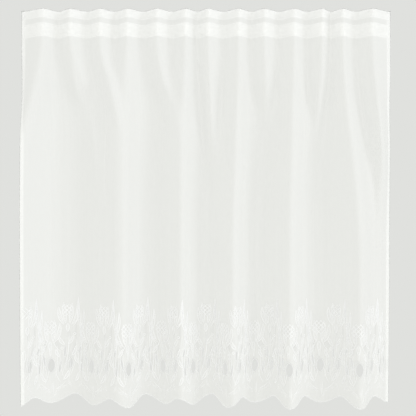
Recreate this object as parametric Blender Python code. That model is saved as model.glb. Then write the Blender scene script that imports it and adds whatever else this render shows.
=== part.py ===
"""Lace curtain of sheer voile, hanging from its heading in uneven folds.

Two pieces: the curtain cloth, with its turned hems and its scalloped openwork border, and the
gathering tape sewn along its back. Metres, +Z up. The front of the cloth faces -Y. The origin is
the middle of the top edge, halfway between the front and the back of the folds.

Places on the flat cloth are given by flat, the way across from its left edge, and by drop, the
way down from its top edge. The same two numbers find the place on the hung cloth.
"""

import math
from collections import namedtuple

import bpy
import numpy as np
from mathutils import Matrix, Vector
from mathutils.geometry import delaunay_2d_cdt

# Driving sizes of the curtain
FLAT_WIDTH = 1.815
HUNG_WIDTH = 1.363
FULL_DROP = 1.45
CLOTH_THICKNESS = 0.0012
HEM_THICKNESS = 0.0020
TOP_HEM = 0.033
SIDE_HEM = 0.015
HEM_STEP = 0.0015

# Gathering tape on the back
TAPE_TOP = 0.051
TAPE_DEPTH = 0.050
TAPE_THICKNESS = 0.0011
TAPE_SIDE_MARGIN = 0.003
SEWN_GAP = 0.00035
HEADING_DROP = TAPE_TOP + TAPE_DEPTH

# Scalloped hem: the lowest points are a repeat apart
REPEAT = 0.168
FIRST_LOBE = -0.030
SCALLOP_DEPTH = 0.033
SCALLOP_FULLNESS = 0.85
SCALLOP_STEPS = 10

# The side edges bow out a little below the heading. The left one is drawn in as its fold
# comes forward
EDGE_BOW = 0.004
LEFT_EDGE_DRAW = 0.014

# One row for each fold, left to right. Ridges stand towards the viewer. The places and the
# reaches are across the hung cloth, and the hem height is a share of the deepest fold there.
# Below the tape, a fold takes its hem form over the settle drop, and reaches its hem place over
# the travel drop.
Fold = namedtuple("Fold", "top_place hem_place left_reach right_reach hem_height settle travel")
FOLDS = (
    Fold(-0.592, -0.668, 0.108, 0.132, 1.00, 0.42, 0.45),
    Fold(-0.495, -0.402, 0.065, 0.065, 0.10, 0.30, 0.52),
    Fold(-0.385, -0.315, 0.065, 0.043, 0.00, 0.41, 0.39),
    Fold(-0.286, -0.301, 0.210, 0.101, 1.00, 0.37, 0.42),
    Fold(-0.178, -0.121, 0.058, 0.051, 0.00, 0.42, 0.38),
    Fold(-0.073, -0.088, 0.112, 0.087, 0.85, 0.42, 0.42),
    Fold(0.008, 0.030, 0.047, 0.047, 0.00, 0.66, 0.58),
    Fold(0.121, 0.099, 0.101, 0.098, 0.95, 0.52, 0.80),
    Fold(0.214, 0.225, 0.051, 0.051, 0.00, 0.38, 0.34),
    Fold(0.322, 0.305, 0.108, 0.116, 1.00, 0.52, 0.72),
    Fold(0.425, 0.406, 0.051, 0.051, 0.06, 0.48, 0.44),
    Fold(0.498, 0.557, 0.137, 0.116, 1.00, 0.62, 0.80),
    Fold(0.606, 0.647, 0.058, 0.043, 0.20, 0.80, 0.52),
)
HEADING_ROUNDNESS = 0.60
HEM_ROUNDNESS = 0.35
PROFILE_SAMPLES = 700
DEPTH_TRIALS = 26
LEAST_DEPTH = 0.010
MOST_DEPTH = 0.300

# Gaps cut through the border in each repeat. The offset is across from the lobe, the drop is to
# the middle of the gap, and the lean is in degrees, with the top to the right when positive.
Gap = namedtuple("Gap", "offset drop width height lean corners")
GAPS = (
    Gap(-0.005, 1.311, 0.031, 0.050, 0.0, 10),
    Gap(0.068, 1.306, 0.018, 0.042, 8.0, 8),
    Gap(-0.034, 1.292, 0.010, 0.048, -12.0, 6),
    Gap(0.029, 1.318, 0.010, 0.046, 10.0, 6),
    Gap(0.047, 1.262, 0.009, 0.040, 4.0, 6),
    Gap(-0.058, 1.318, 0.011, 0.040, -6.0, 6),
    Gap(-0.062, 1.252, 0.008, 0.034, 14.0, 6),
)
GAP_POINTEDNESS = 0.75

# Points of the grid stay this many half heights off the middle of a gap, counted on a gap that
# is wider by the side clearance, and this far above the scalloped hem
GAP_CLEARANCE = 1.12
GAP_SIDE_CLEARANCE = 0.003
HEM_CLEARANCE = 0.010

# Rows of points down the flat cloth: how far down, and how many steps across
Row = namedtuple("Row", "drop steps")
ROWS = (
    Row(0.0, 117),
    Row(TOP_HEM - HEM_STEP, 117),
    Row(TOP_HEM, 117),
    Row(HEADING_DROP, 117),
    Row(0.150, 112),
    Row(0.200, 112),
    Row(0.250, 112),
    Row(0.300, 108),
    Row(0.360, 104),
    Row(0.430, 100),
    Row(0.510, 92),
    Row(0.600, 84),
    Row(0.700, 76),
    Row(0.850, 70),
    Row(1.010, 66),
    Row(1.140, 70),
    Row(1.220, 78),
    Row(1.258, 84),
    Row(1.286, 84),
    Row(1.312, 84),
    Row(1.340, 84),
    Row(1.366, 78),
    Row(1.394, 70),
)

# Triangulation of the flat cloth: triangles inside the outline only, points merged below this
INSIDE_OUTLINE = 1
MERGE_DISTANCE = 1e-7

# Finish of the cloth and the tape, colours linear
VOILE_WHITE = (0.80, 0.81, 0.77, 1.0)
VOILE_ROUGHNESS = 0.85
TAPE_WHITE = (0.90, 0.90, 0.87, 1.0)
TAPE_ROUGHNESS = 0.80


def ease(share):
    """Rises from 0 to 1 with a level start and a level end."""
    share = min(max(share, 0.0), 1.0)
    return share * share * (3.0 - 2.0 * share)


def below_heading(drop):
    """How far a drop lies below the tape, which holds the folds of the heading as they are."""
    return max(drop - HEADING_DROP, 0.0)


def side_edges(drop):
    """Places of the left and the right edge at this drop."""
    way_down = min(below_heading(drop) / (FULL_DROP - HEADING_DROP), 1.0)
    half_width = HUNG_WIDTH / 2.0 + EDGE_BOW * math.sin(math.pi * way_down)
    drawn_in = LEFT_EDGE_DRAW * ease(below_heading(drop) / FOLDS[0].travel)
    return drawn_in - half_width, half_width


def heading_reach(index, side):
    """Half of the way from one heading ridge to the next one on that side, or to the edge."""
    place = FOLDS[index].top_place
    neighbour = index + side
    if 0 <= neighbour < len(FOLDS):
        return abs(FOLDS[neighbour].top_place - place) / 2.0
    return HUNG_WIDTH / 2.0 - abs(place)


def ridge(away, roundness):
    """Height of a ridge, 1 at its crest and 0 at a reach away: flat flanks and a rounded crest."""
    away = np.clip(np.abs(away), 0.0, 1.0)
    rounded = np.sqrt(away * away + roundness * roundness) - roundness
    rounded = rounded / (math.sqrt(1.0 + roundness * roundness) - roundness)
    return (1.0 - rounded) ** 2


def fold_heights(across, drop):
    """Adds up the folds across the cloth at one drop, before their depth is set."""
    heights = np.zeros_like(across)
    for index, fold in enumerate(FOLDS):
        settled = ease(below_heading(drop) / fold.settle)
        travelled = ease(below_heading(drop) / fold.travel)
        crest = fold.top_place + (fold.hem_place - fold.top_place) * travelled
        left = heading_reach(index, -1)
        left += (fold.left_reach - left) * settled
        right = heading_reach(index, 1)
        right += (fold.right_reach - right) * settled
        height = 1.0 + (fold.hem_height - 1.0) * settled
        roundness = HEADING_ROUNDNESS + (HEM_ROUNDNESS - HEADING_ROUNDNESS) * settled
        reach = np.where(across < crest, left, right)
        heights += height * ridge((across - crest) / reach, roundness)
    return heights


def way_along(across, depth):
    """Length along the cloth from its left edge to each sample."""
    steps = np.hypot(np.diff(across), np.diff(depth))
    return np.concatenate([[0.0], np.cumsum(steps)])


PROFILES = {}


def row_profile(drop):
    """The hung row at one drop: the way along it, the place across and the depth.

    Cloth doesn't stretch, so the depth of the folds is tried until the row is as long as the
    flat cloth is wide.
    """
    key = round(drop, 5)
    if key not in PROFILES:
        left_edge, right_edge = side_edges(drop)
        across = np.linspace(left_edge, right_edge, PROFILE_SAMPLES)
        heights = fold_heights(across, drop)
        low = LEAST_DEPTH
        high = MOST_DEPTH
        for _ in range(DEPTH_TRIALS):
            depth = (low + high) / 2.0
            if way_along(across, heights * depth)[-1] < FLAT_WIDTH:
                low = depth
            else:
                high = depth
        forward = (heights - heights.max() / 2.0) * depth
        flat = way_along(across, forward)
        PROFILES[key] = (flat * FLAT_WIDTH / flat[-1], across, -forward)
    return PROFILES[key]


def hung_point(flat, drop):
    """The place on the middle of the hung cloth."""
    along, across, depth = row_profile(drop)
    return Vector((np.interp(flat, along, across), np.interp(flat, along, depth), -drop))


def backward(before, flat, after, drop):
    """The level direction out of the back of the heading, at a point between two neighbours."""
    point = hung_point(flat, drop)
    turned = []
    for neighbour in (before, after):
        if neighbour != flat:
            over = (hung_point(neighbour, drop) - point).normalized()
            turned.append(over if neighbour > flat else -over)
    over = sum(turned, Vector((0.0, 0.0, 0.0)))
    return over.cross(Vector((0.0, 0.0, -1.0))).normalized()


def scallop_drop(flat):
    """The drop of the scalloped hem at this way across."""
    turn = 2.0 * math.pi * (flat - FIRST_LOBE) / REPEAT
    lobe = (0.5 + 0.5 * math.cos(turn)) ** SCALLOP_FULLNESS
    return FULL_DROP - SCALLOP_DEPTH * (1.0 - lobe)


def thickness(flat, drop):
    """Doubled cloth in the turned hems, single cloth elsewhere."""
    in_top_hem = drop <= TOP_HEM - HEM_STEP / 2.0
    in_side_hem = min(flat, FLAT_WIDTH - flat) <= SIDE_HEM - HEM_STEP / 2.0
    return HEM_THICKNESS if in_top_hem or in_side_hem else CLOTH_THICKNESS


def gap_places():
    """Each gap of the border with the place of its middle on the flat cloth."""
    places = []
    repeats = math.ceil((FLAT_WIDTH - FIRST_LOBE) / REPEAT) + 1
    for repeat in range(repeats):
        for gap in GAPS:
            flat = FIRST_LOBE + repeat * REPEAT + gap.offset
            inside = SIDE_HEM + gap.width
            if inside < flat < FLAT_WIDTH - inside:
                places.append((flat, gap))
    return places


def gap_outline(flat, gap):
    """Pointed oval, its tips at the top and the bottom, leaning by the gap's own angle."""
    lean = Matrix.Rotation(math.radians(gap.lean), 2)
    outline = []
    for corner in range(gap.corners):
        turn = 2.0 * math.pi * corner / gap.corners
        bulge = math.copysign(abs(math.sin(turn)) ** (1.0 / GAP_POINTEDNESS), math.sin(turn))
        point = Vector((bulge * gap.width / 2.0, math.cos(turn) * gap.height / 2.0))
        point = lean @ point
        outline.append(Vector((flat + point.x, gap.drop - point.y)))
    return outline


def clear_of_gaps(point, places):
    """True where a point of the grid lies outside every gap, with a margin round it."""
    for flat, gap in places:
        sideways = (point.x - flat) / (gap.width / 2.0 + GAP_SIDE_CLEARANCE)
        upright = (point.y - gap.drop) / (gap.height / 2.0)
        if math.hypot(sideways, upright) < GAP_CLEARANCE:
            return False
    return True


def row_places(steps):
    """Places across a row: even steps between the side hems, and two at each hem's inner edge."""
    hem_lines = (0.0, SIDE_HEM - HEM_STEP, SIDE_HEM)
    inner = FLAT_WIDTH - 2.0 * SIDE_HEM
    middle = [SIDE_HEM + inner * step / steps for step in range(1, steps)]
    return list(hem_lines) + middle + [FLAT_WIDTH - line for line in reversed(hem_lines)]


def edge_outline():
    """The outer edge of the flat cloth: top, right side, scalloped hem and left side."""
    sides = [row.drop for row in ROWS[1:]]
    outline = [Vector((flat, 0.0)) for flat in row_places(ROWS[0].steps)]
    outline += [Vector((FLAT_WIDTH, drop)) for drop in sides]
    steps = round(FLAT_WIDTH / REPEAT * SCALLOP_STEPS)
    for step in range(steps + 1):
        flat = FLAT_WIDTH * (1.0 - step / steps)
        outline.append(Vector((flat, scallop_drop(flat))))
    outline += [Vector((0.0, drop)) for drop in reversed(sides)]
    return outline


def flat_cut():
    """Points and triangles of the flat cloth, cut to its outline and round its gaps."""
    places = gap_places()
    loops = [edge_outline()]
    loops += [gap_outline(flat, gap) for flat, gap in places]
    points = []
    edges = []
    for loop in loops:
        start = len(points)
        points += loop
        edges += [(start + i, start + (i + 1) % len(loop)) for i in range(len(loop))]
    for row in ROWS[1:]:
        for flat in row_places(row.steps)[1:-1]:
            point = Vector((flat, row.drop))
            if row.drop < scallop_drop(flat) - HEM_CLEARANCE and clear_of_gaps(point, places):
                points.append(point)
    rim = list(range(len(loops[0])))
    cut = delaunay_2d_cdt(points, edges, [rim], INSIDE_OUTLINE, MERGE_DISTANCE)
    cut_points, _, faces = cut[:3]
    triangles = []
    for face in faces:
        middle = sum((cut_points[corner] for corner in face), Vector((0.0, 0.0))) / len(face)
        if not any(inside_outline(middle, loop) for loop in loops[1:]):
            triangles.append(face)
    return cut_points, triangles


def inside_outline(point, outline):
    """True where a ray to the right of the point crosses the outline an odd number of times."""
    inside = False
    for start, end in zip(outline, outline[1:] + outline[:1]):
        if (start.y > point.y) != (end.y > point.y):
            crossing = start.x + (end.x - start.x) * (point.y - start.y) / (end.y - start.y)
            if crossing > point.x:
                inside = not inside
    return inside


def make_material(name, colour, roughness):
    """Plain cloth finish."""
    material = bpy.data.materials.new(name)
    material.use_nodes = True
    shader = material.node_tree.nodes["Principled BSDF"]
    shader.inputs["Base Color"].default_value = colour
    shader.inputs["Roughness"].default_value = roughness
    shader.inputs["Metallic"].default_value = 0.0
    material.diffuse_color = colour
    return material


def add_piece(name, points, faces, material):
    """Makes a smooth-shaded object of one sheet of faces."""
    mesh = bpy.data.meshes.new(name)
    mesh.from_pydata([tuple(point) for point in points], [], faces)
    mesh.shade_smooth()
    mesh.materials.append(material)
    piece = bpy.data.objects.new(name, mesh)
    bpy.context.collection.objects.link(piece)
    return piece


def thicken(piece, full, thin_share=1.0, thick_points=None):
    """Gives a sheet its thickness about its middle, full only at the thick points if any."""
    solid = piece.modifiers.new("thickness", "SOLIDIFY")
    solid.thickness = full
    solid.offset = 0.0
    solid.use_rim = True
    if thick_points is not None:
        group = piece.vertex_groups.new(name="turned_hems")
        group.add(thick_points, 1.0, "REPLACE")
        solid.vertex_group = group.name
        solid.thickness_vertex_group = thin_share
    return piece


def make_cloth():
    """The voile: cut flat, hung in its folds and thickened, more in its turned hems."""
    flat_points, triangles = flat_cut()
    hung = [hung_point(point.x, point.y) for point in flat_points]
    voile = make_material("voile", VOILE_WHITE, VOILE_ROUGHNESS)
    cloth = add_piece("curtain_cloth", hung, triangles, voile)
    doubled = [
        index for index, point in enumerate(flat_points)
        if thickness(point.x, point.y) == HEM_THICKNESS
    ]
    return thicken(cloth, HEM_THICKNESS, CLOTH_THICKNESS / HEM_THICKNESS, doubled)


def make_tape():
    """The gathering tape: a strip that follows the back of the folds, a sewn gap behind them."""
    drops = [TAPE_TOP, HEADING_DROP]
    across = row_places(ROWS[0].steps)
    across[0] = TAPE_SIDE_MARGIN
    across[-1] = FLAT_WIDTH - TAPE_SIDE_MARGIN
    count = len(across)
    points = []
    for drop in drops:
        for column, flat in enumerate(across):
            lift = thickness(flat, drop) / 2.0 + SEWN_GAP + TAPE_THICKNESS / 2.0
            before = across[max(column - 1, 0)]
            after = across[min(column + 1, count - 1)]
            points.append(hung_point(flat, drop) + backward(before, flat, after, drop) * lift)
    faces = []
    for row in range(len(drops) - 1):
        for column in range(count - 1):
            corner = row * count + column
            faces.append((corner, corner + 1, corner + count + 1, corner + count))
    woven_tape = make_material("tape", TAPE_WHITE, TAPE_ROUGHNESS)
    tape = add_piece("heading_tape", points, faces, woven_tape)
    return thicken(tape, TAPE_THICKNESS)


def main():
    """Clears the scene and makes the two pieces."""
    for item in list(bpy.data.objects):
        bpy.data.objects.remove(item)
    make_cloth()
    make_tape()


main()
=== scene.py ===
# %% [markdown]
# A sheer lace curtain, dressed over its plain solids. The real curtain is one length of voile:
# its top and sides are turned over and sewn, a gathering tape is sewn behind the heading, and a
# border of flowers is embroidered above a scalloped hem, with small gaps cut out between the
# stems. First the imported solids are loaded. They keep their place while new pieces are made.

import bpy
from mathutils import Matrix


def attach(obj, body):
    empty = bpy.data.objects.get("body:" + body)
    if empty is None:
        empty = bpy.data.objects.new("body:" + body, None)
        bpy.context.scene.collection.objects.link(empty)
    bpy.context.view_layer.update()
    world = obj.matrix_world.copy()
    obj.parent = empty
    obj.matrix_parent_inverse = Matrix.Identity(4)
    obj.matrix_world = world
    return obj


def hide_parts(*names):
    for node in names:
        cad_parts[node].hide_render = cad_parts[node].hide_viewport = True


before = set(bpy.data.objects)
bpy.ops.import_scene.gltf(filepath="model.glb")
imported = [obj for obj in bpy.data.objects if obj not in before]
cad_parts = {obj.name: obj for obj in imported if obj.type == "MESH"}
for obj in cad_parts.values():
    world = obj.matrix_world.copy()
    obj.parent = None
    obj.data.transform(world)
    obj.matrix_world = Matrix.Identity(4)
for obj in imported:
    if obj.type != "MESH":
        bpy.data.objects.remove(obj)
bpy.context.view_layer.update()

# %% Tools of the lesson
import math
from collections import namedtuple

import bmesh
import bpy
import numpy as np
from mathutils import Matrix, Vector

# %% [markdown]
# Every place on the curtain is named by two numbers of the flat cloth: flat, the way across from
# the left edge, and drop, the way down from the top edge. The folds below have the sizes of the
# solid. The hung width of a row is less than its flat width, and the depth of the folds takes up
# the rest, because woven cloth hardly stretches.

# %% Sizes of the curtain, in metres
FLAT_WIDTH = 1.815
HUNG_WIDTH = 1.363
FULL_DROP = 1.45
TOP_HEM = 0.033
SIDE_HEM = 0.015
TAPE_TOP = 0.051
TAPE_DEPTH = 0.050
HEADING_DROP = TAPE_TOP + TAPE_DEPTH
REPEAT = 0.168
FIRST_LOBE = -0.030
SCALLOP_DEPTH = 0.033
SCALLOP_FULLNESS = 0.85
EDGE_BOW = 0.004
LEFT_EDGE_DRAW = 0.014

# %% The folds, left to right
Fold = namedtuple("Fold", "top_place hem_place left_reach right_reach hem_height settle travel")
FOLDS = (
    Fold(-0.592, -0.668, 0.108, 0.132, 1.00, 0.42, 0.45),
    Fold(-0.495, -0.402, 0.065, 0.065, 0.10, 0.30, 0.52),
    Fold(-0.385, -0.315, 0.065, 0.043, 0.00, 0.41, 0.39),
    Fold(-0.286, -0.301, 0.210, 0.101, 1.00, 0.37, 0.42),
    Fold(-0.178, -0.121, 0.058, 0.051, 0.00, 0.42, 0.38),
    Fold(-0.073, -0.088, 0.112, 0.087, 0.85, 0.42, 0.42),
    Fold(0.008, 0.030, 0.047, 0.047, 0.00, 0.66, 0.58),
    Fold(0.121, 0.099, 0.101, 0.098, 0.95, 0.52, 0.80),
    Fold(0.214, 0.225, 0.051, 0.051, 0.00, 0.38, 0.34),
    Fold(0.322, 0.305, 0.108, 0.116, 1.00, 0.52, 0.72),
    Fold(0.425, 0.406, 0.051, 0.051, 0.06, 0.48, 0.44),
    Fold(0.498, 0.557, 0.137, 0.116, 1.00, 0.62, 0.80),
    Fold(0.606, 0.647, 0.058, 0.043, 0.20, 0.80, 0.52),
)
HEADING_ROUNDNESS = 0.60
HEM_ROUNDNESS = 0.35
ROW_SAMPLES = 700
DEPTH_LIMITS = (0.010, 0.300)
HALVINGS = 26


# %% How one row of the cloth hangs
def ease(share):
    """Rises from 0 to 1 with a level start and a level end."""
    share = np.clip(share, 0.0, 1.0)
    return share * share * (3.0 - 2.0 * share)


def heading_reach(index, side):
    """Half of the way to the next heading ridge on that side, or the way to the edge."""
    place = FOLDS[index].top_place
    if 0 <= index + side < len(FOLDS):
        return abs(FOLDS[index + side].top_place - place) / 2.0
    return HUNG_WIDTH / 2.0 - abs(place)


def ridge(away, roundness):
    """Height of a ridge: 1 at its crest, 0 a reach away."""
    away = np.clip(np.abs(away), 0.0, 1.0)
    rounded = np.sqrt(away * away + roundness * roundness) - roundness
    return (1.0 - rounded / (math.sqrt(1.0 + roundness * roundness) - roundness)) ** 2


def hung_row(drop):
    """A row at one drop: the way along the cloth, the place across and the depth."""
    below = max(drop - HEADING_DROP, 0.0)
    bow = math.sin(math.pi * min(below / (FULL_DROP - HEADING_DROP), 1.0))
    edge = HUNG_WIDTH / 2.0 + EDGE_BOW * bow
    drawn_in = LEFT_EDGE_DRAW * ease(below / FOLDS[0].travel)
    across = np.linspace(drawn_in - edge, edge, ROW_SAMPLES)
    heights = np.zeros(ROW_SAMPLES)
    for index, fold in enumerate(FOLDS):
        settled = ease(below / fold.settle)
        crest = fold.top_place + (fold.hem_place - fold.top_place) * ease(below / fold.travel)
        left = heading_reach(index, -1) * (1.0 - settled) + fold.left_reach * settled
        right = heading_reach(index, 1) * (1.0 - settled) + fold.right_reach * settled
        height = 1.0 + (fold.hem_height - 1.0) * settled
        roundness = HEADING_ROUNDNESS + (HEM_ROUNDNESS - HEADING_ROUNDNESS) * settled
        reach = np.where(across < crest, left, right)
        heights += height * ridge((across - crest) / reach, roundness)
    # Halving the limits finds the depth at which the row is as long as the flat cloth
    shallow, deep = DEPTH_LIMITS
    for _ in range(HALVINGS):
        depth = (shallow + deep) / 2.0
        along = np.append(0.0, np.cumsum(np.hypot(np.diff(across), np.diff(heights * depth))))
        shallow, deep = (depth, deep) if along[-1] < FLAT_WIDTH else (shallow, depth)
    return along * FLAT_WIDTH / along[-1], across, (heights.max() / 2.0 - heights) * depth


# %% [markdown]
# The rows are gathered in a table, from which the place of any point of the cloth is read. Small
# creases are added to it, each a soft trough or ridge between two places, because real
# voile keeps marks from its packing that no even fold has.

# %% Table of the hung cloth
DROP_STEP = 0.005
FLAT_STEP = 0.0015
table_drops = np.arange(0.0, FULL_DROP + 2.0 * DROP_STEP, DROP_STEP)
table_flats = np.arange(0.0, FLAT_WIDTH + FLAT_STEP / 2.0, FLAT_STEP)
table_across = np.zeros((len(table_drops), len(table_flats)))
table_depth = np.zeros_like(table_across)
for index, drop in enumerate(table_drops):
    along, across, depth = hung_row(drop)
    table_across[index] = np.interp(table_flats, along, across)
    table_depth[index] = np.interp(table_flats, along, depth)
print("table", table_across.shape, "deepest", round(float(np.ptp(table_depth)), 4))

# %% Creases: from one place on the flat cloth to another, troughs positive, ridges negative
Crease = namedtuple("Crease", "flat drop end_flat end_drop width depth")
CREASES = (
    # Sharp marks where the cloth was folded for packing
    Crease(0.358, 0.200, 0.374, 0.705, 0.0050, 0.0032),
    Crease(1.545, 0.098, 1.486, 0.470, 0.0050, -0.0034),
    Crease(1.056, 0.520, 1.083, 0.930, 0.0055, 0.0022),
    # Soft stripes that fan out from the heading
    Crease(0.262, 0.180, 0.322, 0.600, 0.0120, -0.0040),
    Crease(0.205, 0.104, 0.330, 0.470, 0.0160, 0.0050),
    Crease(0.600, 0.130, 0.640, 0.700, 0.0120, 0.0034),
    Crease(0.835, 0.104, 0.872, 0.660, 0.0080, -0.0034),
    Crease(1.205, 0.110, 1.220, 0.560, 0.0100, 0.0032),
    Crease(1.330, 0.150, 1.395, 0.620, 0.0080, -0.0034),
    Crease(1.690, 0.110, 1.742, 0.780, 0.0100, 0.0038),
    # Faint long waves in the lower half
    Crease(0.120, 0.450, 0.150, 1.300, 0.0160, 0.0036),
    Crease(0.470, 0.600, 0.455, 1.380, 0.0140, -0.0030),
    Crease(0.780, 0.700, 0.752, 1.400, 0.0130, 0.0030),
    Crease(1.120, 0.760, 1.140, 1.360, 0.0150, -0.0028),
    Crease(1.440, 0.640, 1.462, 1.400, 0.0130, 0.0028),
    Crease(1.655, 0.820, 1.640, 1.390, 0.0120, -0.0026),
)
# Below 1 this power keeps a crease near its full depth for most of its length
CREASE_FADE = 0.5


def add_crease(crease):
    """Pushes the table back along the crease's line, fading out at both ends."""
    share = (table_drops - crease.drop) / (crease.end_drop - crease.drop)
    middle = crease.flat + (crease.end_flat - crease.flat) * share
    fade = np.sin(math.pi * np.clip(share, 0.0, 1.0)) ** CREASE_FADE
    away = (table_flats[None, :] - middle[:, None]) / crease.width
    table_depth[:] += crease.depth * fade[:, None] * np.exp(-away * away)


for crease in CREASES:
    add_crease(crease)
print("creases", len(CREASES))


# %% Hang any point of the flat cloth
def front_normals():
    """The direction out of the front of the cloth at each place of the table."""
    tables = (table_across, table_depth)
    level = np.zeros_like(table_across)
    over = [np.gradient(table, FLAT_STEP, axis=1) for table in tables]
    down = [np.gradient(table, DROP_STEP, axis=0) for table in tables]
    front = np.cross(np.stack([*down, level - 1.0], axis=-1), np.stack([*over, level], axis=-1))
    return front / np.linalg.norm(front, axis=-1, keepdims=True)


table_front = front_normals()


def read_table(table, flats, drops):
    """Values of a table between its rows and columns."""
    column = np.clip(flats / FLAT_STEP, 0.0, len(table_flats) - 1.001)
    row = np.clip(drops / DROP_STEP, 0.0, len(table_drops) - 1.001)
    left, top = column.astype(int), row.astype(int)
    right_share, low_share = column - left, row - top
    if table.ndim == 3:
        right_share, low_share = right_share[:, None], low_share[:, None]
    upper = table[top, left] * (1.0 - right_share) + table[top, left + 1] * right_share
    lower = table[top + 1, left] * (1.0 - right_share) + table[top + 1, left + 1] * right_share
    return upper * (1.0 - low_share) + lower * low_share


def hang(flats, drops, lifts):
    """Places of flat points on the hung cloth, each lifted off its front."""
    across = read_table(table_across, flats, drops)
    depth = read_table(table_depth, flats, drops)
    places = np.stack([across, depth, -drops], axis=-1)
    return places + read_table(table_front, flats, drops) * np.asarray(lifts)[:, None]


# %% [markdown]
# The voile is a single sheet. It starts as a flat grid whose columns and rows lie closer where
# the cloth has more to show: in the hems and in the border. Its outermost columns and first rows
# are the turned hems, which lie folded over behind the cloth.

# %% Rows and columns of the flat grid
Band = namedtuple("Band", "start end steps")
COLUMN_BANDS = (
    Band(-SIDE_HEM, 0.0, 4),
    Band(0.0, FLAT_WIDTH, 437),
    Band(FLAT_WIDTH, FLAT_WIDTH + SIDE_HEM, 4),
)
BORDER_DROP = 1.040
BORDER_ROWS = 92
ROW_BANDS = (
    Band(-TOP_HEM, 0.0, 7),
    Band(0.0, 0.036, 8),
    Band(0.036, HEADING_DROP, 12),
    Band(HEADING_DROP, BORDER_DROP, 54),
)
FLAP_LIFT = 0.0007
SIDE_FLAP_LIFT = 0.00045
FLAP_BEND = 0.003


def band_places(bands):
    """Places at even steps through each band."""
    places = [bands[0].start]
    for band in bands:
        places += list(np.linspace(band.start, band.end, band.steps + 1)[1:])
    return np.array(places)


def scallop_drop(flats):
    """The drop of the scalloped hem at this way across."""
    lobe = (0.5 + 0.5 * np.cos(2.0 * math.pi * (flats - FIRST_LOBE) / REPEAT)) ** SCALLOP_FULLNESS
    return FULL_DROP - SCALLOP_DEPTH * (1.0 - lobe)


column_places = band_places(COLUMN_BANDS)
row_places = band_places(ROW_BANDS)
print("grid", len(column_places), "by", len(row_places) + BORDER_ROWS)


# %% Place the grid's points on the flat cloth
def folded_over(flats):
    """Where a turned side hem lies: as far in from the edge as it was cut beyond it."""
    return np.where(flats > FLAT_WIDTH, 2.0 * FLAT_WIDTH - flats, np.abs(flats))


def flat_grid():
    """A grid of quads whose x is the way across the flat cloth and whose y is minus the drop."""
    columns, rows = len(column_places) - 1, len(row_places) - 1 + BORDER_ROWS
    grid = bmesh.new()
    bmesh.ops.create_grid(grid, x_segments=columns, y_segments=rows, size=0.5)
    for vert in grid.verts:
        column = round((vert.co.x + 0.5) * columns)
        row = round((0.5 - vert.co.y) * rows)
        flat = column_places[column]
        if row < len(row_places):
            drop = row_places[row]
        else:
            share = (row - len(row_places) + 1) / BORDER_ROWS
            hem = float(scallop_drop(folded_over(flat)))
            drop = BORDER_DROP + share * (hem - BORDER_DROP)
        vert.co = (flat, -drop, 0.0)
    return grid


# %% [markdown]
# The gaps between the stems are burnt out of the real cloth after it is embroidered. Here the
# faces inside each gap are deleted, and the points round the hole are drawn onto its outline.

# %% The gaps of one repeat, across from the lobe
Gap = namedtuple("Gap", "offset drop width height lean")
GAPS = (
    Gap(-0.005, 1.311, 0.031, 0.050, 0.0),
    Gap(0.068, 1.306, 0.018, 0.042, 8.0),
    Gap(-0.034, 1.292, 0.010, 0.048, -12.0),
    Gap(0.029, 1.318, 0.010, 0.046, 10.0),
    Gap(0.047, 1.262, 0.009, 0.040, 4.0),
    Gap(-0.058, 1.318, 0.011, 0.040, -6.0),
    Gap(-0.062, 1.252, 0.008, 0.034, 14.0),
)
GAP_POINTEDNESS = 0.75
# Faces further than this from a lobe hold none of its gaps
NEARBY = REPEAT / 2.0 + 0.02


def lobe_places():
    """The way across of each lobe's lowest point, also of those just outside the edges."""
    count = math.ceil((FLAT_WIDTH - FIRST_LOBE) / REPEAT) + 1
    return [FIRST_LOBE + REPEAT * index for index in range(count)]


def cut_gap(grid, faces, middle, gap):
    """Deletes the faces in a gap and draws the rim of the hole onto a pointed oval."""
    unlean = Matrix.Rotation(math.radians(gap.lean), 2)
    inside = []
    for face in faces:
        local = unlean @ (face.calc_center_median().xy - middle)
        height = 1.0 - (2.0 * local.y / gap.height) ** 2
        if height > 0.0 and abs(2.0 * local.x / gap.width) < height ** (0.5 / GAP_POINTEDNESS):
            inside.append(face)
    rim = {vert for face in inside for vert in face.verts}
    bmesh.ops.delete(grid, geom=inside, context="FACES")
    for vert in rim:
        if vert.is_valid:
            local = unlean @ (vert.co.xy - middle)
            turn = math.atan2(2.0 * local.x / gap.width, 2.0 * local.y / gap.height)
            bulge = math.copysign(abs(math.sin(turn)) ** (1.0 / GAP_POINTEDNESS), math.sin(turn))
            point = Vector((bulge * gap.width / 2.0, math.cos(turn) * gap.height / 2.0))
            vert.co.xy = middle + unlean.inverted() @ point


def cut_gaps(grid):
    """Cuts the gaps of every repeat that fits between the side hems."""
    cut = 0
    highest = min(gap.drop - gap.height for gap in GAPS)
    for lobe in lobe_places():
        nearby = [
            face for face in grid.faces
            if abs(face.verts[0].co.x - lobe) < NEARBY and -face.verts[0].co.y > highest
        ]
        for gap in GAPS:
            middle = Vector((lobe + gap.offset, -gap.drop))
            if SIDE_HEM + gap.width < middle.x < FLAT_WIDTH - SIDE_HEM - gap.width:
                close = [
                    face for face in nearby
                    if face.is_valid and (face.verts[0].co.xy - middle).length < gap.height
                ]
                cut_gap(grid, close, middle, gap)
                cut += 1
    return cut


# %% Hang the sheet and keep its flat places as a map
def finish_piece(name, work, material, smooth=True):
    """Turns a finished bmesh into a named object with one material."""
    mesh = bpy.data.meshes.new(name)
    work.to_mesh(mesh)
    work.free()
    mesh.materials.append(material)
    if smooth:
        mesh.shade_smooth()
    piece = bpy.data.objects.new(name, mesh)
    bpy.context.scene.collection.objects.link(piece)
    return piece


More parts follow.
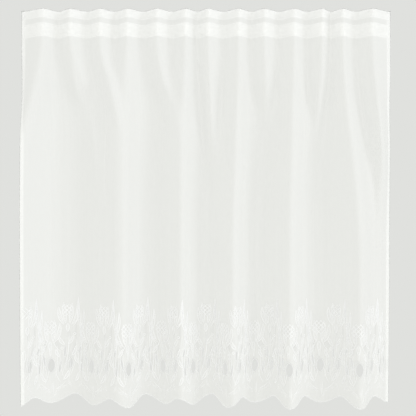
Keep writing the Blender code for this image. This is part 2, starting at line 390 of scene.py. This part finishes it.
def hang_mesh(piece):
    """Moves each point from its flat place to its hung place; z is its lift off the front."""
    flat = np.zeros(len(piece.data.vertices) * 3)
    piece.data.vertices.foreach_get("co", flat)
    flat = flat.reshape(-1, 3)
    hung = hang(flat[:, 0], -flat[:, 1], flat[:, 2])
    piece.data.vertices.foreach_set("co", hung.ravel())
    piece.data.update()


def map_flat_places(work):
    """Writes each corner's flat place to a UV map, in metres."""
    layer = work.loops.layers.uv.new("flat_cloth")
    for face in work.faces:
        for loop in face.loops:
            loop[layer].uv = loop.vert.co.xy


def hang_voile(piece):
    """Hangs the voile with its turned hems folded over behind it."""
    flat = np.zeros(len(piece.data.vertices) * 3)
    piece.data.vertices.foreach_get("co", flat)
    flat = flat.reshape(-1, 3)
    beyond = np.maximum(-flat[:, 0], flat[:, 0] - FLAT_WIDTH)
    lifts = -SIDE_FLAP_LIFT * ease(beyond / FLAP_BEND) - FLAP_LIFT * ease(flat[:, 1] / FLAP_BEND)
    openwork = piece.data.attributes.new("openwork", "FLOAT", "POINT")
    openwork.data.foreach_set("value", thinned(flat[:, 0], -flat[:, 1]))
    hung = hang(folded_over(flat[:, 0]), np.abs(flat[:, 1]), lifts)
    piece.data.vertices.foreach_set("co", hung.ravel())
    piece.data.update()


# %% [markdown]
# The finishes come next, because each piece is given its own as it is made. White cloth in soft
# light shows little but its tone, so the tones matter most. One function turns the sRGB colours
# to linear, and one adds a node.

# %% Colour and node helpers
# At a scale of 1 the bands of the wave texture lie this far apart
WAVE_SPAN = math.tau / 20.0


def linear(code):
    """An sRGB hex colour as a linear one."""
    parts = [int(code[start:start + 2], 16) / 255.0 for start in (1, 3, 5)]
    turned = [part / 12.92 if part <= 0.04045 else ((part + 0.055) / 1.055) ** 2.4
              for part in parts]
    return (*turned, 1.0)


def add_node(tree, kind, settings=(), values=(), links=()):
    """Adds a node, sets its properties and its inputs, and links other sockets to its inputs."""
    node = tree.nodes.new(kind)
    for name, value in dict(settings).items():
        setattr(node, name, value)
    for name, value in dict(values).items():
        node.inputs[name].default_value = value
    for name, socket in dict(links).items():
        tree.links.new(socket, node.inputs[name])
    return node


def bands(tree, pitch, map_name, distortion):
    """Even bands, a pitch apart, across a UV map in metres."""
    places = add_node(tree, "ShaderNodeUVMap", {"uv_map": map_name})
    waves = add_node(tree, "ShaderNodeTexWave", {"wave_type": "BANDS", "bands_direction": "X"},
                     values={"Scale": WAVE_SPAN / pitch, "Distortion": distortion},
                     links={"Vector": places.outputs["UV"]})
    return waves.outputs["Fac"]


def new_material(name):
    """An empty node material and its output."""
    material = bpy.data.materials.new(name)
    material.use_nodes = True
    material.node_tree.nodes.clear()
    return material, add_node(material.node_tree, "ShaderNodeOutputMaterial")


# %% [markdown]
# A smooth sheet darkens fast as it turns from the light. Woven cloth doesn't, because its round
# threads face every way, and some always face the lamp. So the tape and the stitching are lit by
# a direction that is turned part of the way from their own to the curtain's front.

# %% Light that falls evenly on thread
def even_direction(tree, share):
    """The surface's direction with its sideways part made smaller by the share."""
    surface = add_node(tree, "ShaderNodeNewGeometry")
    turned = add_node(tree, "ShaderNodeVectorMath", {"operation": "MULTIPLY"})
    tree.links.new(surface.outputs["Normal"], turned.inputs[0])
    turned.inputs[1].default_value = (1.0 - share, 1.0, 1.0 - share)
    unit = add_node(tree, "ShaderNodeVectorMath", {"operation": "NORMALIZE"})
    tree.links.new(turned.outputs["Vector"], unit.inputs[0])
    return unit.outputs["Vector"]


# %% [markdown]
# Polyester voile is a plain weave of fine, evenly spun threads with open gaps between them. The
# gaps let through what is behind, and the threads both return light and pass some of it on. A
# thread is thinner than a pixel, so the weave shows as an even film of see-through white. What
# the eye does catch is the slub: threads a little thicker or thinner than their neighbours, which
# run down the cloth as faint streaks.

# %% Sheer woven voile
VOILE_COVER = 0.50
# A hem is turned twice, so its folded side is two layers, drawn as one sheet of their cover
HEM_COVER = 1.0 - (1.0 - VOILE_COVER) ** 2
VOILE_PASSES = 0.35
HEM_PASSES = 0.60
BURNT_SHARE = 0.42
# Slubs and ripples in a metre, across and down the cloth
SLUBS = (220.0, 1.6, 1.0)
RIPPLES = (30.0, 170.0, 1.0)
RIPPLE_DEPTH = 0.003
VOILE_PUCKERS = 0.02
HEM_PUCKERS = 0.5


def make_voile_finish(name, cover, passes, puckers, thin_tone, thick_tone):
    """Sheer polyester voile, plain woven; puckers is how strongly a seam draws it up."""
    material, output = new_material(name)
    tree = material.node_tree
    places = add_node(tree, "ShaderNodeUVMap", {"uv_map": "flat_cloth"})
    # Warp slubs 3 to 8 mm apart and most of a metre long
    stretch = add_node(tree, "ShaderNodeMapping", values={"Scale": SLUBS},
                       links={"Vector": places.outputs["UV"]})
    slub = add_node(tree, "ShaderNodeTexNoise", values={"Scale": 1.0, "Detail": 2.0},
                    links={"Vector": stretch.outputs["Vector"]})
    tone = add_node(tree, "ShaderNodeMix", {"data_type": "RGBA"},
                    links={"Factor": slub.outputs["Fac"]})
    tone.inputs["A"].default_value = linear(thin_tone)
    tone.inputs["B"].default_value = linear(thick_tone)
    colour = tone.outputs["Result"]
    # Puckers of a turned hem: level ripples about 6 mm apart
    squeeze = add_node(tree, "ShaderNodeMapping", values={"Scale": RIPPLES},
                       links={"Vector": places.outputs["UV"]})
    ripple = add_node(tree, "ShaderNodeTexNoise", values={"Scale": 1.0, "Detail": 1.0},
                      links={"Vector": squeeze.outputs["Vector"]})
    bump = add_node(tree, "ShaderNodeBump", values={"Strength": puckers, "Distance": RIPPLE_DEPTH},
                    links={"Height": ripple.outputs["Fac"]})
    threads = add_node(tree, "ShaderNodeBsdfPrincipled",
                       values={"Roughness": 0.75, "IOR": 1.5, "Sheen Weight": 0.15},
                       links={"Base Color": colour, "Normal": bump.outputs["Normal"]})
    passing = add_node(tree, "ShaderNodeBsdfTranslucent",
                       links={"Color": colour, "Normal": bump.outputs["Normal"]})
    cloth = add_node(tree, "ShaderNodeMixShader", values={"Fac": passes})
    tree.links.new(threads.outputs[0], cloth.inputs[1])
    tree.links.new(passing.outputs[0], cloth.inputs[2])
    gaps = add_node(tree, "ShaderNodeBsdfTransparent")
    # Where threads are burnt out between the stems, less is left to cover what is behind
    burnt = add_node(tree, "ShaderNodeAttribute", {"attribute_name": "openwork"})
    left = add_node(tree, "ShaderNodeMath", {"operation": "MULTIPLY_ADD"})
    tree.links.new(burnt.outputs["Fac"], left.inputs[0])
    left.inputs[1].default_value = -cover * BURNT_SHARE
    left.inputs[2].default_value = cover
    sheer = add_node(tree, "ShaderNodeMixShader", links={"Fac": left.outputs[0]})
    tree.links.new(gaps.outputs[0], sheer.inputs[1])
    tree.links.new(cloth.outputs[0], sheer.inputs[2])
    tree.links.new(sheer.outputs[0], output.inputs["Surface"])
    return material


voile_finish = make_voile_finish("sheer_polyester_voile", VOILE_COVER, VOILE_PASSES,
                                 VOILE_PUCKERS, "#EEEEEC", "#F4F4F2")
turned_finish = make_voile_finish("turned_voile_hem", HEM_COVER, HEM_PASSES,
                                  HEM_PUCKERS, "#FCFCFD", "#FFFFFF")
print("finishes", voile_finish.name, turned_finish.name)

# %% [markdown]
# Round the cut gaps the ground itself is thinned in soft patches, which look a little darker than
# the rest. Each point of the voile keeps how far it is thinned, and the finish reads that.

# %% Chart of the thinned patches of one repeat
PATCHES = (
    Gap(0.062, 1.298, 0.046, 0.070, 8.0),
    Gap(-0.052, 1.300, 0.030, 0.064, -4.0),
    Gap(-0.013, 1.312, 0.054, 0.074, 0.0),
    Gap(0.080, 1.256, 0.016, 0.090, 8.0),
    Gap(-0.030, 1.240, 0.014, 0.056, 6.0),
    Gap(0.018, 1.232, 0.022, 0.046, -20.0),
    Gap(0.062, 1.196, 0.012, 0.036, 0.0),
    Gap(-0.078, 1.180, 0.012, 0.080, 0.0),
)
# A patch fades out at this many times its half width or half height
PATCH_EDGE = 1.25


def thinned(flats, drops):
    """How far the ground is thinned at each place, from 0 to 1."""
    most = np.zeros(len(flats))
    for lobe in lobe_places():
        for patch in PATCHES:
            lean = math.radians(patch.lean)
            away, down = flats - lobe - patch.offset, drops - patch.drop
            across = away * math.cos(lean) + down * math.sin(lean)
            along = down * math.cos(lean) - away * math.sin(lean)
            reach = np.hypot(2.0 * across / patch.width, 2.0 * along / patch.height)
            most = np.maximum(most, ease(PATCH_EDGE - reach))
    return most


# %% Make the voile
sheet = flat_grid()
gap_count = cut_gaps(sheet)
map_flat_places(sheet)
for face in sheet.faces:
    middle = face.calc_center_median()
    face.material_index = int(middle.y > 0.0 or not 0.0 < middle.x < FLAT_WIDTH)
voile = finish_piece("voile_curtain", sheet, voile_finish)
voile.data.materials.append(turned_finish)
hang_voile(voile)
print("voile", len(voile.data.polygons), "faces,", gap_count, "gaps")

# %% [markdown]
# The gathering tape is a firm woven band, 50 mm deep, sewn along the back a little below the
# top. Like the voile it is one sheet. It starts as a flat grid and is hung behind the cloth,
# through the middle of its solid.

# %% Woven tape
TAPE_MARGIN = 0.003
TAPE_BEHIND = 0.0015
TAPE_COLUMNS = 436
TAPE_ROWS = 8
# The tape steps back where it crosses a side hem, from a little inside the hem's edge
HEM_STEP_BACK = 0.0004
HEM_STEP_START = SIDE_HEM + 0.0015
TAPE_PASSES = 0.80
TAPE_EVENNESS = 0.3
RIB_PITCH = 0.0016


def make_tape_finish():
    """White polyester tape, woven close, with a soft dull surface."""
    material, output = new_material("woven_polyester_tape")
    tree = material.node_tree
    # Ribs run down the tape 1.6 mm apart, coarser than the real 0.8 mm so that they show
    ribs = bands(tree, RIB_PITCH, "flat_cloth", 0.4)
    bump = add_node(tree, "ShaderNodeBump", values={"Strength": 0.25, "Distance": 0.0003},
                    links={"Height": ribs, "Normal": even_direction(tree, TAPE_EVENNESS)})
    shader = add_node(tree, "ShaderNodeBsdfPrincipled",
                      values={"Base Color": linear("#FEFEFE"), "Roughness": 0.8},
                      links={"Normal": bump.outputs["Normal"]})
    passing = add_node(tree, "ShaderNodeBsdfTranslucent", values={"Color": linear("#FCFCFC")},
                       links={"Normal": bump.outputs["Normal"]})
    tape_cloth = add_node(tree, "ShaderNodeMixShader", values={"Fac": TAPE_PASSES})
    tree.links.new(shader.outputs[0], tape_cloth.inputs[1])
    tree.links.new(passing.outputs[0], tape_cloth.inputs[2])
    tree.links.new(tape_cloth.outputs[0], output.inputs["Surface"])
    return material


def make_tape():
    """A flat grid behind the heading, a little further back over the side hems."""
    length = FLAT_WIDTH - 2.0 * TAPE_MARGIN
    tape = bmesh.new()
    bmesh.ops.create_grid(tape, x_segments=TAPE_COLUMNS, y_segments=TAPE_ROWS, size=0.5)
    bmesh.ops.scale(tape, vec=(length, TAPE_DEPTH, 1.0), verts=tape.verts)
    middle = (FLAT_WIDTH / 2.0, -TAPE_TOP - TAPE_DEPTH / 2.0, -TAPE_BEHIND)
    bmesh.ops.translate(tape, vec=middle, verts=tape.verts)
    for vert in tape.verts:
        if min(vert.co.x, FLAT_WIDTH - vert.co.x) < HEM_STEP_START:
            vert.co.z -= HEM_STEP_BACK
    map_flat_places(tape)
    return tape


tape = finish_piece("gathering_tape", make_tape(), make_tape_finish())
hang_mesh(tape)
print("tape", len(tape.data.polygons), "faces")

# %% [markdown]
# The border is embroidered in satin stitch, which lays threads side by side over a narrow line,
# so that the line stands up as a low pad with pointed ends. One pad is a small grid, drawn to a
# point at both ends, bent, and arched over the cloth that it is sewn to. There are many hundreds,
# so the grid is made once by its operator and its points are repeated from arrays. The chart
# lists the lines of one repeat, and each repeat of the cloth wears them.

# %% One satin-stitch pad, repeated
Pad = namedtuple("Pad", "offset drop length width lean bend blunt")
PAD_HEIGHT = 0.0002
PAD_LIFT = 0.00015
# A tip keeps this share of the width. The blunter a pad, the nearer its tips it narrows
TIP_SHARE = 0.08
LINE_BLUNT = 5.0
ROUND_BLUNT = 2.0
SHORT_BLUNT = 3.0
RIM_BLUNT = 8.0


def small_grid(across_steps, along_steps):
    """Points and faces of a grid from -1 to 1 both ways."""
    work = bmesh.new()
    bmesh.ops.create_grid(work, x_segments=across_steps, y_segments=along_steps, size=1.0)
    work.verts.index_update()
    points = np.array([vert.co[:] for vert in work.verts])
    faces = [[vert.index for vert in face.verts] for face in work.faces]
    work.free()
    return points, faces


def stitch(name, pads, material, across_steps, along_steps, arch=1.0, height=PAD_HEIGHT):
    """Joins many pads in one hung piece; a lean is in degrees, its top to the right."""
    points, faces = small_grid(across_steps, along_steps)
    sideways, along = points[:, 0], points[:, 1]
    offset, drop, length, width, lean, bend, blunt = np.array(pads).T[:, :, None]
    wide = np.maximum(1.0 - np.abs(along) ** blunt, TIP_SHARE)
    across = sideways * wide * width / 2.0 + bend * (1.0 - along * along) ** arch
    upward = along * length / 2.0
    turn = np.radians(lean)
    flats = offset + across * np.cos(turn) + upward * np.sin(turn)
    drops = drop + across * np.sin(turn) - upward * np.cos(turn)
    lifts = PAD_LIFT + (1.0 - sideways * sideways) * wide * height
    hung = hang(flats.ravel(), drops.ravel(), lifts.ravel())
    joined = [[corner + step * len(points) for corner in face]
              for step in range(len(pads)) for face in faces]
    mesh = bpy.data.meshes.new(name)
    mesh.from_pydata(hung, [], joined)
    corners = np.zeros(len(mesh.loops), dtype=int)
    mesh.loops.foreach_get("vertex_index", corners)
    places = np.stack([flats.ravel(), -drops.ravel()], axis=-1)[corners]
    mesh.uv_layers.new(name="flat_cloth").data.foreach_set("uv", places.ravel())
    run = np.stack([upward.ravel(), (sideways * width).ravel()], axis=-1)[corners]
    mesh.uv_layers.new(name="stitch_run").data.foreach_set("uv", run.ravel())
    mesh.materials.append(material)
    mesh.shade_smooth()
    piece = bpy.data.objects.new(name, mesh)
    bpy.context.scene.collection.objects.link(piece)
    print(name, len(pads), "pads,", len(mesh.polygons), "faces")
    return piece


# %% Chart of the petals and leaves: each a pointed outline, across from the lobe
Petal = namedtuple("Petal", "offset drop length width lean bend")
PETALS = (
    # Tall leaf of two blades
    Petal(-0.064, 1.118, 0.120, 0.0110, -4.0, -0.004),
    Petal(-0.050, 1.146, 0.090, 0.0090, 6.0, 0.004),
    Petal(-0.060, 1.215, 0.060, 0.0110, 3.0, 0.003),
    # Upper flower head
    Petal(0.034, 1.128, 0.072, 0.0130, -16.0, -0.006),
    Petal(0.046, 1.118, 0.080, 0.0140, -5.0, 0.000),
    Petal(0.070, 1.120, 0.078, 0.0140, 7.0, 0.002),
    Petal(0.083, 1.122, 0.084, 0.0140, 16.0, 0.012),
    Petal(0.058, 1.172, 0.034, 0.0120, 0.0, 0.000),
    # Lower flower head
    Petal(-0.040, 1.188, 0.086, 0.0140, -16.0, -0.014),
    Petal(-0.024, 1.186, 0.084, 0.0150, -6.0, -0.002),
    Petal(0.004, 1.186, 0.082, 0.0150, 6.0, 0.002),
    Petal(0.018, 1.192, 0.078, 0.0130, 16.0, 0.007),
    Petal(-0.010, 1.240, 0.036, 0.0130, 0.0, 0.000),
    # Small leaves along the stems
    Petal(0.036, 1.222, 0.042, 0.0110, -34.0, -0.004),
    Petal(0.068, 1.218, 0.040, 0.0100, 32.0, 0.004),
    Petal(0.080, 1.258, 0.044, 0.0100, 24.0, 0.005),
    Petal(-0.042, 1.250, 0.038, 0.0090, 30.0, 0.004),
    Petal(-0.076, 1.286, 0.046, 0.0100, -26.0, -0.005),
    Petal(0.020, 1.268, 0.036, 0.0090, -28.0, -0.003),
    Petal(-0.038, 1.352, 0.044, 0.0100, -30.0, -0.004),
    Petal(0.050, 1.350, 0.042, 0.0100, 30.0, 0.004),
    Petal(-0.076, 1.355, 0.036, 0.0090, 20.0, 0.003),
)
# Faint spray in the lobe, filled and not outlined
SPRAY = (
    Petal(0.000, 1.396, 0.038, 0.0110, 0.0, 0.000),
    Petal(-0.020, 1.398, 0.036, 0.0100, -38.0, -0.004),
    Petal(0.020, 1.398, 0.036, 0.0100, 38.0, 0.004),
    Petal(-0.040, 1.390, 0.034, 0.0090, -64.0, -0.003),
    Petal(0.040, 1.390, 0.034, 0.0090, 64.0, 0.003),
    Petal(-0.064, 1.380, 0.032, 0.0090, 28.0, 0.003),
    Petal(0.066, 1.380, 0.032, 0.0090, -28.0, -0.003),
    Petal(0.006, 1.420, 0.026, 0.0080, 24.0, 0.003),
)
THREAD_LINE = 0.0030
FILL_SHARE = 0.96

# %% Chart of the single lines: stems, leaf tips and cords
Stem = namedtuple("Stem", "offset drop length width lean bend")
STEMS = (
    Stem(-0.066, 1.086, 0.056, 0.0042, -5.0, -0.002),
    Stem(-0.048, 1.126, 0.044, 0.0036, 6.0, 0.002),
    Stem(-0.060, 1.226, 0.240, 0.0034, 2.0, 0.004),
    Stem(-0.066, 1.280, 0.170, 0.0026, -3.0, -0.004),
    Stem(-0.052, 1.290, 0.150, 0.0024, 3.0, 0.005),
    Stem(-0.046, 1.292, 0.140, 0.0020, -2.0, 0.006),
    Stem(0.088, 1.128, 0.084, 0.0036, 16.0, 0.012),
    Stem(-0.046, 1.192, 0.086, 0.0036, -16.0, -0.014),
    Stem(0.054, 1.258, 0.150, 0.0024, 6.0, 0.006),
    Stem(0.048, 1.272, 0.160, 0.0020, 10.0, 0.008),
    Stem(-0.012, 1.262, 0.034, 0.0030, -6.0, 0.000),
    Stem(-0.006, 1.262, 0.034, 0.0030, 6.0, 0.000),
    Stem(0.020, 1.350, 0.056, 0.0022, -20.0, -0.004),
    Stem(-0.024, 1.352, 0.056, 0.0022, 20.0, 0.004),
    Stem(0.014, 1.236, 0.060, 0.0022, -30.0, -0.005),
    Stem(-0.034, 1.236, 0.050, 0.0022, 30.0, 0.005),
    Stem(0.076, 1.300, 0.110, 0.0022, 12.0, 0.008),
    Stem(0.014, 1.300, 0.120, 0.0026, 4.0, 0.005),
    Stem(0.036, 1.306, 0.120, 0.0022, -6.0, -0.006),
    Stem(-0.026, 1.306, 0.116, 0.0024, -5.0, -0.004),
    Stem(0.062, 1.322, 0.090, 0.0022, 2.0, 0.004),
    Stem(-0.070, 1.256, 0.090, 0.0022, -8.0, -0.005),
    Stem(0.002, 1.398, 0.052, 0.0016, 4.0, 0.002),
    Stem(-0.030, 1.386, 0.050, 0.0016, -52.0, -0.004),
    Stem(0.030, 1.386, 0.050, 0.0016, 52.0, 0.004),
)

# %% Chart of the lattices in the flower heads, and of the rings
Lattice = namedtuple("Lattice", "offset drop radius pitch")
LATTICES = (
    Lattice(0.056, 1.108, 0.024, 0.0110),
    Lattice(-0.011, 1.172, 0.028, 0.0115),
)
Ring = namedtuple("Ring", "offset drop radius")
RINGS = (
    Ring(-0.045, 1.212, 0.0042),
    Ring(0.036, 1.250, 0.0042),
    Ring(0.084, 1.196, 0.0042),
)
LATTICE_BAR = 0.0024
BEAD = 0.0042
RING_STEPS = 8
GAP_RIM = 0.0024
RIM_SHARE = 1.06
RIM_ARCH = 0.667


def petal_pads(petal):
    """The two sides of a pointed outline."""
    half = petal.width / 2.0
    return [Pad(petal.offset, petal.drop, petal.length, THREAD_LINE, petal.lean, bend, LINE_BLUNT)
            for bend in (petal.bend - half, petal.bend + half)]


def fill_pads(petal):
    """The flat open filling of a petal, just inside its outline."""
    length = petal.length * FILL_SHARE
    return [Pad(petal.offset, petal.drop, length, petal.width, petal.lean, petal.bend, ROUND_BLUNT)]


def gap_pads(gap):
    """The two sides of the stitched rim of a gap, a little longer than the gap."""
    length = gap.height * RIM_SHARE
    return [Pad(gap.offset, gap.drop, length, GAP_RIM, gap.lean, bend, RIM_BLUNT)
            for bend in (-gap.width / 2.0, gap.width / 2.0)]


def lattice_pads(lattice):
    """Crossed bars clipped to a circle, with a bead at each crossing."""
    reach = int(lattice.radius / lattice.pitch)
    steps = range(-reach, reach + 1)
    pads = []
    for slant in (-45.0, 45.0):
        side = math.radians(slant)
        for step in steps:
            away = step * lattice.pitch
            length = 2.0 * math.sqrt(lattice.radius ** 2 - away ** 2)
            offset = lattice.offset + away * math.cos(side)
            drop = lattice.drop + away * math.sin(side)
            pads.append(Pad(offset, drop, length, LATTICE_BAR, slant, 0.0, LINE_BLUNT))
    for right in steps:
        for left in steps:
            place = Vector((right + left, right - left)) * lattice.pitch * math.sqrt(0.5)
            if place.length < lattice.radius:
                offset, drop = lattice.offset + place.x, lattice.drop + place.y
                pads.append(Pad(offset, drop, BEAD, BEAD, 0.0, 0.0, ROUND_BLUNT))
    return pads


def ring_pads(ring):
    """Short pads laid end to end round a circle."""
    pads = []
    for step in range(RING_STEPS):
        turn = 2.0 * math.pi * step / RING_STEPS
        offset = ring.offset + ring.radius * math.sin(turn)
        drop = ring.drop - ring.radius * math.cos(turn)
        lean = 90.0 + math.degrees(turn)
        pads.append(Pad(offset, drop, ring.radius, THREAD_LINE, lean, 0.0, SHORT_BLUNT))
    return pads


# %% [markdown]
# Fine white thread passes about half of the light on, so the border keeps much of the tone of
# the ground that it is sewn to. A satin line is laid close, so it hides most of the ground. A
# filling is sewn in open rows, and much of the ground shows between them.

# %% Satin-stitch thread
THREAD_COLOUR = "#FBFBFC"
THREAD_PASSES = 0.55
THREAD_COVER = 0.59
THREAD_EVENNESS = 0.55
THREAD_PITCH = 0.001
OPEN_ROW_PITCH = 0.002
OPEN_ROW_COVER = (0.10, 0.60)


def make_thread_finish(name, open_rows):
    """Soft white embroidery thread, laid close or in open rows."""
    material, output = new_material(name)
    tree = material.node_tree
    # Threads cross the line 1 mm apart, coarser than the real 0.4 mm so that they show
    threads = bands(tree, THREAD_PITCH, "stitch_run", 0.6)
    bump = add_node(tree, "ShaderNodeBump", values={"Strength": 0.2, "Distance": 0.0003},
                    links={"Height": threads, "Normal": even_direction(tree, THREAD_EVENNESS)})
    thread = add_node(tree, "ShaderNodeBsdfPrincipled",
                      values={"Base Color": linear(THREAD_COLOUR), "Roughness": 0.7,
                              "Specular IOR Level": 0.35, "Sheen Weight": 0.1},
                      links={"Normal": bump.outputs["Normal"]})
    passing = add_node(tree, "ShaderNodeBsdfTranslucent", values={"Color": linear(THREAD_COLOUR)},
                       links={"Normal": bump.outputs["Normal"]})
    satin = add_node(tree, "ShaderNodeMixShader", values={"Fac": THREAD_PASSES})
    tree.links.new(thread.outputs[0], satin.inputs[1])
    tree.links.new(passing.outputs[0], satin.inputs[2])
    between = add_node(tree, "ShaderNodeBsdfTransparent")
    cloth = add_node(tree, "ShaderNodeMixShader", values={"Fac": THREAD_COVER})
    tree.links.new(between.outputs[0], cloth.inputs[1])
    tree.links.new(satin.outputs[0], cloth.inputs[2])
    tree.links.new(cloth.outputs[0], output.inputs["Surface"])
    if not open_rows:
        return material
    # Rows of stitches 2 mm apart, their edges soft where the threads part
    least, most = OPEN_ROW_COVER
    laid = add_node(tree, "ShaderNodeMapRange",
                    values={"From Min": 0.2, "From Max": 0.8, "To Min": least, "To Max": most},
                    links={"Value": bands(tree, OPEN_ROW_PITCH, "stitch_run", 1.0)})
    tree.links.new(laid.outputs["Result"], cloth.inputs["Fac"])
    return material


thread_finish = make_thread_finish("satin_stitch_thread", open_rows=False)
fill_finish = make_thread_finish("open_filling_thread", open_rows=True)
print("finishes", thread_finish.name, fill_finish.name)


# %% Embroider every repeat
BARE_EDGE = 0.003


def inside_cloth(pad):
    """True where a pad stays clear of both side edges."""
    reach = abs(math.sin(math.radians(pad.lean))) * pad.length / 2.0 + abs(pad.bend) + pad.width
    return BARE_EDGE + reach < pad.offset < FLAT_WIDTH - BARE_EDGE - reach


def repeated(motif):
    """The pads of one repeat, set in every repeat where they stay on the cloth."""
    pads = [pad._replace(offset=pad.offset + lobe) for lobe in lobe_places() for pad in motif]
    return [pad for pad in pads if inside_cloth(pad)]


motif = [pad for petal in PETALS for pad in petal_pads(petal)]
motif += [Pad(*stem, LINE_BLUNT) for stem in STEMS]
motif += [pad for lattice in LATTICES for pad in lattice_pads(lattice)]
motif += [pad for ring in RINGS for pad in ring_pads(ring)]
embroidery = stitch("border_embroidery", repeated(motif), thread_finish, 2, 10)
fillings = [pad for petal in PETALS + SPRAY for pad in fill_pads(petal)]
filling = stitch("petal_filling", repeated(fillings), fill_finish, 2, 10, height=0.0)
rims = [pad for gap in GAPS for pad in gap_pads(gap)]
gap_binding = stitch("gap_binding", repeated(rims), thread_finish, 2, 12, arch=RIM_ARCH)

# %% [markdown]
# A row of short stitches binds the scalloped edge. Each is a small pad that reaches over the
# edge, some further than others, and together they give it its finely bitten outline.

# %% Bind the scalloped edge
EDGE_STITCH = 0.0052
EDGE_PAD_LENGTH = 0.0056
EDGE_PAD_WIDTH = 0.0044
EDGE_INSET = 0.0015
BITE_PITCH = 0.021
BITE_DEPTH = 0.0018
SLOPE_STEP = 0.001


def edge_pads():
    """Short pads along the hem, each square to the edge."""
    count = round(FLAT_WIDTH / EDGE_STITCH)
    flats = np.arange(1, count) * FLAT_WIDTH / count
    drops = scallop_drop(flats)
    rise = scallop_drop(flats + SLOPE_STEP) - scallop_drop(flats - SLOPE_STEP)
    leans = -np.degrees(np.arctan(rise / (2.0 * SLOPE_STEP)))
    bites = BITE_DEPTH * np.abs(np.sin(math.pi * flats / BITE_PITCH))
    return [
        Pad(flat, drop - EDGE_INSET + bite, EDGE_PAD_LENGTH, EDGE_PAD_WIDTH, lean, 0.0, SHORT_BLUNT)
        for flat, drop, bite, lean in zip(flats, drops, bites, leans)
    ]


edging = stitch("edge_binding", edge_pads(), thread_finish, 2, 4)

# %% [markdown]
# Lockstitch rows hold the turned hem and the two edges of the tape. A real stitch is about 3 mm
# long and half a millimetre wide. It is drawn nearly twice as wide, so that it shows.

# %% Seam stitches
SEAM_DROPS = (0.0305, 0.0530, 0.0990)
SEAM_MARGIN = 0.004
STITCH_PITCH = 0.0042
STITCH_LENGTH = 0.0034
STITCH_WIDTH = 0.0009


def seam_pads():
    """Rows of short stitches across the heading."""
    count = int((FLAT_WIDTH - 2.0 * SEAM_MARGIN) / STITCH_PITCH)
    flats = [SEAM_MARGIN + (step + 0.5) * STITCH_PITCH for step in range(count)]
    return [Pad(flat, drop, STITCH_LENGTH, STITCH_WIDTH, 90.0, 0.0, SHORT_BLUNT)
            for drop in SEAM_DROPS for flat in flats]


seams = stitch("seam_stitches", seam_pads(), thread_finish, 2, 4)

# %% [markdown]
# The new pieces are tied to the part's one body. The voile takes the place of the cloth solid and
# the tape of the tape solid, and the stitching goes with the voile.

# %% Tie the pieces to the solids
for piece in (voile, tape, embroidery, filling, gap_binding, edging, seams):
    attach(piece, "root")
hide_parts("curtain_cloth")
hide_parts("heading_tape")

# %% [markdown]
# The studio is plain: a pale floor well below the hem, an even pale surround, which is seen
# through the voile, a broad soft light from the right, and weaker ones from the front, from the
# left and from behind. The camera looks straight at the front of the curtain.

# %% Floor
FLOOR_DROP = 2.25
FLOOR_RADIUS = 2.6
FLOOR_SIDES = 96


def make_floor():
    """A round pale floor."""
    material, output = new_material("pale_studio_floor")
    shader = add_node(material.node_tree, "ShaderNodeBsdfPrincipled",
                      values={"Base Color": linear("#DEDFD9"), "Roughness": 0.9})
    material.node_tree.links.new(shader.outputs[0], output.inputs["Surface"])
    work = bmesh.new()
    bmesh.ops.create_circle(work, cap_ends=True, segments=FLOOR_SIDES, radius=FLOOR_RADIUS)
    bmesh.ops.translate(work, vec=(0.0, 0.0, -FLOOR_DROP), verts=work.verts)
    return finish_piece("studio_floor", work, material, smooth=False)


floor = make_floor()

# %% Surround and lights
world = bpy.data.worlds.new("pale_surround")
world.use_nodes = True
world.node_tree.nodes["Background"].inputs["Color"].default_value = linear("#E0E1DE")
world.node_tree.nodes["Background"].inputs["Strength"].default_value = 1.0
bpy.context.scene.world = world


def add_sun(name, strength, softness, towards, colour="#FFFFFF"):
    """A distant lamp that shines from the given direction, softened over an angle in degrees."""
    lamp = bpy.data.lights.new(name, "SUN")
    lamp.color = linear(colour)[:3]
    lamp.energy = strength
    lamp.angle = math.radians(softness)
    holder = bpy.data.objects.new(name, lamp)
    holder.rotation_mode = "QUATERNION"
    holder.rotation_quaternion = Vector(towards).to_track_quat("Z", "Y")
    bpy.context.scene.collection.objects.link(holder)
    return holder


add_sun("soft_key", 1.25, 25.0, (1.0, -0.53, 0.30), "#F8FAFF")
add_sun("front_fill", 0.74, 40.0, (-0.10, -1.0, 0.2))
add_sun("left_fill", 0.30, 40.0, (-1.0, -0.6, 0.2))
add_sun("back_light", 0.50, 60.0, (0.0, 1.0, 0.2))

# %% Camera, at the photograph's place
SENSOR_MM = 36.0
LENS_MM = 66.12
CAMERA_PLACE = (0.0075, -2.8, -0.727)
camera_data = bpy.data.cameras.new("camera")
camera_data.sensor_width = SENSOR_MM
camera_data.lens = LENS_MM
camera = bpy.data.objects.new("camera", camera_data)
camera.location = CAMERA_PLACE
camera.rotation_euler = (math.radians(90.0), 0.0, 0.0)
bpy.context.scene.collection.objects.link(camera)
bpy.context.scene.camera = camera
bpy.context.scene.view_settings.view_transform = "Standard"
